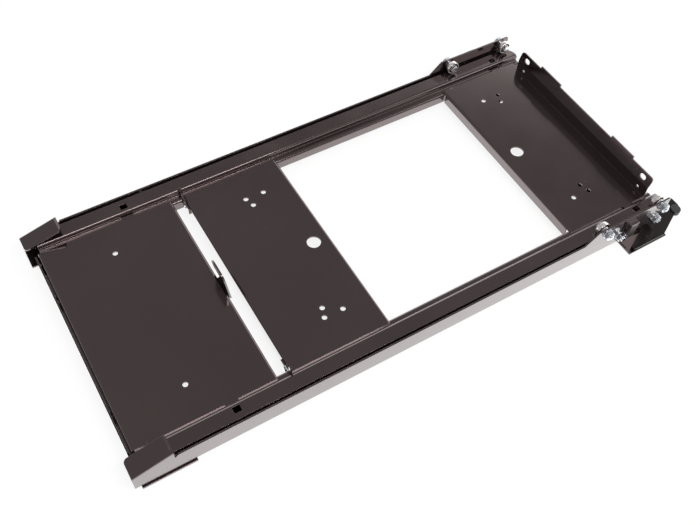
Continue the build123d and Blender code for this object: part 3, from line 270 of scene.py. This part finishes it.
# Bearing rollers: sealed ball bearings whose ground outer races are the rollers. Each has
# a turned steel race and a black rubber seal pressed in on both sides, 8 mm wide in all.
ROLLER_RADIUS = 0.013
ROLLER_INSIDE_Y = 0.2305
ROLLER_OUTSIDE_Y = 0.2385
RACE_INSIDE = 0.0106
RACE_CHAMFER = 0.0006
RACE_EASING = RACE_CHAMFER * 0.3
SEAL_INSIDE = 0.0077
SEAL_INSET = 0.0003
SEAL_THICKNESS = 0.0008
SEAL_LIP = 0.0006
GROOVE_DEPTH = SEAL_THICKNESS * 0.5
GROOVE_INNER_SLOPE = 0.0003
GROOVE_OUTER_SLOPE = 0.0004
ROUND_STEPS = 64
JOIN_DISTANCE = 0.000001
RACE_SMOOTH_ANGLE = 35.0
GROUND_PEEL = 0.00001
BEARING_STEEL = dict(
    ZINC, **{
        "Dark colour": (0.78, 0.72, 0.70, 1),
        "Light colour": (0.90, 0.85, 0.83, 1),
        "Smooth": 0.25,
        "Rough": 0.38,
    }
)
SEAL_RUBBER = {
    "Dark colour": (0.006, 0.006, 0.006, 1),
    "Light colour": (0.012, 0.012, 0.012, 1),
    "Patch scale": 160.0,
    "Peel scale": 2500.0,
    "Smooth": 0.35,
    "Rough": 0.50,
}
SEAL_SHINE = {"IOR": 1.25}

bearing_steel = finish_material(
    "ground bearing steel", BEARING_STEEL, METAL_SHINE, GROUND_PEEL
)
seal_rubber = finish_material("black seal rubber", SEAL_RUBBER, SEAL_SHINE, FINE_PEEL)


def turned_ring(shape, profile, middle):
    # Turns an outline of radius and Y about the axis along Y through the given middle
    corners = [shape.verts.new((middle[0] + radius, y, middle[2])) for radius, y in profile]
    rim = [shape.edges.new((corners[i - 1], corners[i])) for i in range(len(corners))]
    bmesh.ops.spin(
        shape, geom=corners + rim, cent=(middle[0], 0, middle[2]), axis=(0, 1, 0),
        angle=2 * math.pi, steps=ROUND_STEPS, use_merge=True, dvec=(0, 0, 0),
    )


def finish_shape(shape, name, materials, smooth_angle):
    # Closes a shape up, turns its faces outwards and makes it a piece in the scene
    bmesh.ops.remove_doubles(shape, verts=shape.verts, dist=JOIN_DISTANCE)
    bmesh.ops.recalc_face_normals(shape, faces=shape.faces)
    mesh = bpy.data.meshes.new(name)
    shape.to_mesh(mesh)
    shape.free()
    for material in materials:
        mesh.materials.append(material)
    mesh.shade_smooth()
    mesh.set_sharp_from_angle(angle=math.radians(smooth_angle))
    piece = bpy.data.objects.new(name, mesh)
    bpy.context.scene.collection.objects.link(piece)
    return piece


def box_middle(node):
    low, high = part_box(node)
    return (Vector(low) + Vector(high)) / 2


def race_profile(side):
    # The outer race, with a chamfer in two steps at each rim
    low, high = ROLLER_INSIDE_Y, ROLLER_OUTSIDE_Y
    outline = [
        (RACE_INSIDE, low),
        (ROLLER_RADIUS - RACE_CHAMFER, low),
        (ROLLER_RADIUS - RACE_EASING, low + RACE_EASING),
        (ROLLER_RADIUS, low + RACE_CHAMFER),
        (ROLLER_RADIUS, high - RACE_CHAMFER),
        (ROLLER_RADIUS - RACE_EASING, high - RACE_EASING),
        (ROLLER_RADIUS - RACE_CHAMFER, high),
        (RACE_INSIDE, high),
    ]
    return [(radius, side * y) for radius, y in outline]


def seal_profile(side, near, inwards):
    # One seal: flat at its rim, with a shallow groove before its lip
    far = near + inwards * SEAL_THICKNESS
    groove = near + inwards * GROOVE_DEPTH
    middle_radius = (RACE_INSIDE + SEAL_INSIDE) / 2
    outline = [
        (SEAL_INSIDE, near),
        (SEAL_INSIDE + SEAL_LIP, near),
        (SEAL_INSIDE + SEAL_LIP + GROOVE_INNER_SLOPE, groove),
        (middle_radius, groove),
        (middle_radius + GROOVE_OUTER_SLOPE, near),
        (RACE_INSIDE, near),
        (RACE_INSIDE, far),
        (SEAL_INSIDE, far),
    ]
    return [(radius, side * y) for radius, y in outline]


for name in [node for node in nodes if node.endswith("_roller")]:
    side = -1 if name.startswith("left") else 1
    middle = box_middle(name)
    shape = bmesh.new()
    turned_ring(shape, race_profile(side), middle)
    race_faces = len(shape.faces)
    turned_ring(shape, seal_profile(side, ROLLER_INSIDE_Y + SEAL_INSET, 1), middle)
    turned_ring(shape, seal_profile(side, ROLLER_OUTSIDE_Y - SEAL_INSET, -1), middle)
    for index, face in enumerate(shape.faces):
        face.material_index = 0 if index < race_faces else 1
    finishes = (bearing_steel, seal_rubber)
    roller = finish_shape(shape, name + "_sealed", finishes, RACE_SMOOTH_ANGLE)
    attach(roller, name + "_body")
    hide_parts(name)

coat(bearing_steel, "roller_inner_races", "tray_roller_inner_races")


# Roller bolts: zinc-plated steel bolts 10 mm thick, cold headed with a small chamfered
# hexagon and rolled with a thread that shows past the nut. They hold the bearings up.
SHANK_RADIUS = 0.005
THREAD_PITCH = 0.0015
THREAD_DEPTH = 0.0006
THREAD_SHOWN = 0.0045
TIP_CHAMFER = 0.0009
LAST_ROOT = TIP_CHAMFER * 0.4
HEAD_ACROSS_FLATS = 0.013
HEAD_HEIGHT = 0.0053
HEAD_CHAMFER = 0.0008
HEAD_TURN = 30
HEAD_FACING = 90
BASE_BOLT_Y = (0.2305, 0.261)
TRAY_BOLT_Y = (0.197, 0.243)
BOLT_SMOOTH_ANGLE = 25.0


def bolt_profile(side, head_y, tip_y):
    # The shank, then the crests and roots of the thread, then the chamfered tip
    y = tip_y - THREAD_SHOWN
    outline = [(0.0, head_y), (SHANK_RADIUS, head_y), (SHANK_RADIUS, y)]
    while y + THREAD_PITCH < tip_y - TIP_CHAMFER:
        outline.append((SHANK_RADIUS - THREAD_DEPTH, y + THREAD_PITCH / 2))
        outline.append((SHANK_RADIUS, y + THREAD_PITCH))
        y += THREAD_PITCH
    outline.append((SHANK_RADIUS - THREAD_DEPTH, tip_y - LAST_ROOT))
    outline.append((SHANK_RADIUS - TIP_CHAMFER, tip_y))
    outline.append((0.0, tip_y))
    return [(radius, side * y) for radius, y in outline]


def hexagon_head(shape, middle, side, head_y):
    # A hexagon with its outer rim turned off at an angle
    facing = Matrix.Rotation(math.radians(HEAD_FACING), 4, "X")
    turn = facing @ Matrix.Rotation(math.radians(HEAD_TURN), 4, "Z")
    spot = Matrix.Translation((middle[0], side * head_y, middle[2]))
    ring = bmesh.ops.create_circle(
        shape, cap_ends=True, segments=6, radius=HEAD_ACROSS_FLATS / math.sqrt(3),
        matrix=spot @ turn,
    )
    base = ring["verts"][0].link_faces[0]
    grown = bmesh.ops.extrude_face_region(shape, geom=[base])
    moved = [item for item in grown["geom"] if isinstance(item, bmesh.types.BMVert)]
    cap = [item for item in grown["geom"] if isinstance(item, bmesh.types.BMFace)][0]
    bmesh.ops.translate(
        shape, vec=(0, -side * (HEAD_HEIGHT - HEAD_CHAMFER / 2), 0), verts=moved
    )
    bmesh.ops.inset_region(shape, faces=[cap], thickness=HEAD_CHAMFER, depth=0)
    bmesh.ops.translate(shape, vec=(0, -side * HEAD_CHAMFER / 2, 0), verts=cap.verts)


def bolt_set(name, spots, bolt_y, body):
    shape = bmesh.new()
    for x, side, z in spots:
        middle = (x, 0, z)
        turned_ring(shape, bolt_profile(side, *bolt_y), middle)
        hexagon_head(shape, middle, side, bolt_y[0])
    bolts = finish_shape(shape, name + "_threaded", (zinc,), BOLT_SMOOTH_ANGLE)
    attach(bolts, body)
    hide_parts(name)


def bolt_spots(endings):
    # Where the bolts of the named rollers sit, first on the left side and then on the right
    spots = []
    for side, side_name in ((-1, "left"), (1, "right")):
        for ending in endings:
            middle = box_middle(f"{side_name}_{ending}")
            spots.append((middle.x, side, middle.z))
    return spots


for row in ("upper", "lower"):
    spots = bolt_spots((f"{row}_back_roller", f"{row}_front_roller"))
    bolt_set(f"{row}_roller_bolts", spots, BASE_BOLT_Y, "base")
bolt_set("tray_roller_bolts", bolt_spots(("tray_roller",)), TRAY_BOLT_Y, "tray")


# Nuts, washers and spacers of the roller bolts: pressed and turned steel, zinc plated and
# tumbled, so that they are a little duller than the bolts.
NUT_ZINC = dict(ZINC, **{"Smooth": 0.14, "Rough": 0.30, "Patch scale": 120.0})
TUMBLED_PEEL = 0.00003
nut_zinc = finish_material("tumbled zinc plate", NUT_ZINC, METAL_SHINE, TUMBLED_PEEL)
coat(nut_zinc, "roller_nuts", "roller_washers", "roller_spacers")
coat(nut_zinc, "tray_roller_nuts", "tray_roller_spacers")


# Back latch: a 10 mm steel bar across the tray with a powder-coated dog at each end and a
# bent tab in the middle, which fingers pull back to lift the dogs out of the fixed rails.
LATCH_COAT = dict(STRAP_COAT, **{"Edge wear and highlight": 0.7, "Patch scale": 18.0, "Rough": 0.30})
latch_coat = finish_material("powder coat on the latch", LATCH_COAT, COAT_SHINE, FINE_PEEL)
coat(latch_coat, "left_latch_dog", "right_latch_dog", "finger_tab")
coat(zinc, "latch_bar")


# Stops: welded blocks on the rails and the tray, coated with them, and black rubber pads
# and bumpers that take the knock at both ends of the travel.
RUBBER = {
    "Dark colour": (0.010, 0.010, 0.010, 1),
    "Light colour": (0.022, 0.021, 0.020, 1),
    # The worn colour lightens the edges, as wear and as a painted edge highlight
    "Worn and highlit edge colour": (0.06, 0.058, 0.055, 1),
    "Dust colour": (0.20, 0.19, 0.17, 1),
    "Dust amount": 0.3,
    "Dust scale": 90.0,
    "Patch scale": 60.0,
    "Peel scale": 900.0,
    "Edge wear and highlight": 0.5,
    "Smooth": 0.42,
    "Rough": 0.60,
}
RUBBER_SHINE = {"IOR": 1.5}
RUBBER_GRAIN = 0.00006
rubber = finish_material("black rubber", RUBBER, RUBBER_SHINE, RUBBER_GRAIN)
coat(rubber, "home_bumpers", "tray_stop_pads")
coat(rail_coat, "base_stops")
coat(tray_coat, "tray_stops")


# Front lock lever: a flat steel arm beside the left rail, powder coated like the frame. It
# turns on a zinc-plated stud, carries a zinc-plated pin and has a black rubber grip.
LEVER_COAT = dict(
    STRAP_COAT, **{"Edge wear and highlight": 0.5, "Patch scale": 12.0, "Smooth": 0.22, "Rough": 0.34}
)
LEVER_SHINE = {"IOR": 1.3, "Coat Weight": 0.2, "Coat IOR": 1.3, "Coat Roughness": 0.12}
LEVER_PEEL = 0.00003
lever_coat = finish_material("powder coat on the lever", LEVER_COAT, LEVER_SHINE, LEVER_PEEL)
coat(lever_coat, "lock_lever")
coat(zinc, "lock_pin", "lever_pivot_stud", "lever_wave_washer", "lever_retaining_ring")
coat(rubber, "lever_grip")


# Studio floor: a wide matt white sheet. The camera and mirrored rays see it lit from
# within, so that it stays white and keeps a faint shadow, and mirrors show it brighter.
FLOOR_SIZE = 30.0
FLOOR_WHITE = (0.9, 0.9, 0.9, 1)
FLOOR_ROUGHNESS = 0.9
SHADOW_SHARE = 0.2
FLOOR_GLOW = 1.06
MIRRORED_GLOW = 0.75

floor_shape = bmesh.new()
bmesh.ops.create_grid(floor_shape, x_segments=1, y_segments=1, size=FLOOR_SIZE / 2)
floor_mesh = bpy.data.meshes.new("floor")
floor_shape.to_mesh(floor_mesh)
floor_shape.free()
floor = bpy.data.objects.new("floor", floor_mesh)
bpy.context.scene.collection.objects.link(floor)
floor_paint = bpy.data.materials.new("white floor")
floor_paint.use_nodes = True
tree = floor_paint.node_tree
paint = tree.nodes["Principled BSDF"]
paint.inputs["Base Color"].default_value = FLOOR_WHITE
paint.inputs["Roughness"].default_value = FLOOR_ROUGHNESS
glow = tree.nodes.new("ShaderNodeEmission")
path = tree.nodes.new("ShaderNodeLightPath")
brightness = tree.nodes.new("ShaderNodeMath")
brightness.operation = "MULTIPLY_ADD"
brightness.inputs[1].default_value = MIRRORED_GLOW
brightness.inputs[2].default_value = FLOOR_GLOW
tree.links.new(path.outputs["Is Glossy Ray"], brightness.inputs[0])
tree.links.new(brightness.outputs["Value"], glow.inputs["Strength"])
seen = tree.nodes.new("ShaderNodeMath")
seen.operation = "MAXIMUM"
tree.links.new(path.outputs["Is Camera Ray"], seen.inputs[0])
tree.links.new(path.outputs["Is Glossy Ray"], seen.inputs[1])
share = tree.nodes.new("ShaderNodeMath")
share.operation = "MULTIPLY"
share.inputs[1].default_value = 1 - SHADOW_SHARE
tree.links.new(seen.outputs["Value"], share.inputs[0])
blend = tree.nodes.new("ShaderNodeMixShader")
tree.links.new(share.outputs["Value"], blend.inputs["Fac"])
tree.links.new(paint.outputs["BSDF"], blend.inputs[1])
tree.links.new(glow.outputs["Emission"], blend.inputs[2])
tree.links.new(blend.outputs["Shader"], tree.nodes["Material Output"].inputs["Surface"])
floor_mesh.materials.append(floor_paint)


# Studio backdrop: white behind the object and an even soft light from all round. Mirrored
# rays see a bright band above the floor and a dim ceiling, which comes down lower on the
# back and left sides. Its levels are given by height, the sine of a ray's elevation.
MIRRORED_BACKDROP = 1.8
EVEN_LIGHT = 0.80
BACKDROP_WHITE = (1, 1, 1, 1)
NEAR_SIDE_SHADE = -0.8
CEILING_SPAN = 1.25
CEILING_BY_HEIGHT = (
    (0.0, 1.0), (0.50, 1.0), (0.60, 0.97), (0.63, 0.95), (0.66, 0.33), (0.71, 0.14),
    (0.79, 0.22), (1.07, 0.24),
)

world = bpy.data.worlds.new("studio")
bpy.context.scene.world = world
world.use_nodes = True
tree = world.node_tree
tree.nodes.clear()
output = tree.nodes.new("ShaderNodeOutputWorld")
direction = tree.nodes.new("ShaderNodeTexCoord")
split = tree.nodes.new("ShaderNodeSeparateXYZ")
tree.links.new(direction.outputs["Generated"], split.inputs["Vector"])
height = split.outputs["Z"]
for axis in ("X", "Y"):
    towards = tree.nodes.new("ShaderNodeMath")
    towards.operation = "MINIMUM"
    towards.inputs[1].default_value = 0.0
    tree.links.new(split.outputs[axis], towards.inputs[0])
    raised = tree.nodes.new("ShaderNodeMath")
    raised.operation = "MULTIPLY_ADD"
    raised.inputs[1].default_value = NEAR_SIDE_SHADE
    tree.links.new(towards.outputs["Value"], raised.inputs[0])
    tree.links.new(height, raised.inputs[2])
    height = raised.outputs["Value"]
span = tree.nodes.new("ShaderNodeMath")
span.operation = "DIVIDE"
span.inputs[1].default_value = CEILING_SPAN
tree.links.new(height, span.inputs[0])
ramp = tree.nodes.new("ShaderNodeValToRGB")
while len(ramp.color_ramp.elements) < len(CEILING_BY_HEIGHT):
    ramp.color_ramp.elements.new(0.5)
for element, (place, level) in zip(ramp.color_ramp.elements, CEILING_BY_HEIGHT):
    element.position = place / CEILING_SPAN
    element.color = (level, level, level, 1)
tree.links.new(span.outputs["Value"], ramp.inputs["Fac"])
path = tree.nodes.new("ShaderNodeLightPath")
plain = tree.nodes.new("ShaderNodeBackground")
plain.inputs["Strength"].default_value = EVEN_LIGHT
mirrored = tree.nodes.new("ShaderNodeBackground")
mirrored.inputs["Strength"].default_value = MIRRORED_BACKDROP
tree.links.new(ramp.outputs["Color"], mirrored.inputs["Color"])
white = tree.nodes.new("ShaderNodeBackground")
white.inputs["Color"].default_value = BACKDROP_WHITE
unseen = tree.nodes.new("ShaderNodeMixShader")
tree.links.new(path.outputs["Is Glossy Ray"], unseen.inputs["Fac"])
tree.links.new(plain.outputs["Background"], unseen.inputs[1])
tree.links.new(mirrored.outputs["Background"], unseen.inputs[2])
backdrop = tree.nodes.new("ShaderNodeMixShader")
tree.links.new(path.outputs["Is Camera Ray"], backdrop.inputs["Fac"])
tree.links.new(unseen.outputs["Shader"], backdrop.inputs[1])
tree.links.new(white.outputs["Background"], backdrop.inputs[2])
tree.links.new(backdrop.outputs["Shader"], output.inputs["Surface"])


# Lamps: a long narrow one above the left side, which draws bright lines on the bends, and
# a broad soft one over the front left corner. Both point at the middle of the slide.
LAMPS = (
    ("key lamp", (0.12, -1.3, 2.3), 1.3, 0.45, 26.0),
    ("fill lamp", (2.2, -1.4, 2.0), 1.4, 1.4, 14.0),
)
for name, spot, width, depth, power in LAMPS:
    lamp_data = bpy.data.lights.new(name, "AREA")
    lamp_data.shape = "RECTANGLE"
    lamp_data.size = width
    lamp_data.size_y = depth
    lamp_data.energy = power
    lamp = bpy.data.objects.new(name, lamp_data)
    bpy.context.scene.collection.objects.link(lamp)
    lamp.location = spot
    lamp.rotation_euler = (-Vector(spot)).to_track_quat("-Z", "Y").to_euler()


# Camera: where the photograph was taken from, looking down over the back left corner of
# the slide through a lens of normal length.
CAMERA_SPOT = (-0.5554, -0.7598, 1.237)
CAMERA_TURN = (34.938, -2.728, -30.82)
SENSOR_WIDTH = 36.0
LENS = 43.573

camera_data = bpy.data.cameras.new("camera")
camera_data.sensor_fit = "HORIZONTAL"
camera_data.sensor_width = SENSOR_WIDTH
camera_data.lens = LENS
camera = bpy.data.objects.new("camera", camera_data)
bpy.context.scene.collection.objects.link(camera)
camera.location = CAMERA_SPOT
camera.rotation_euler = [math.radians(angle) for angle in CAMERA_TURN]
bpy.context.scene.camera = camera
bpy.context.scene.view_settings.view_transform = "Standard"
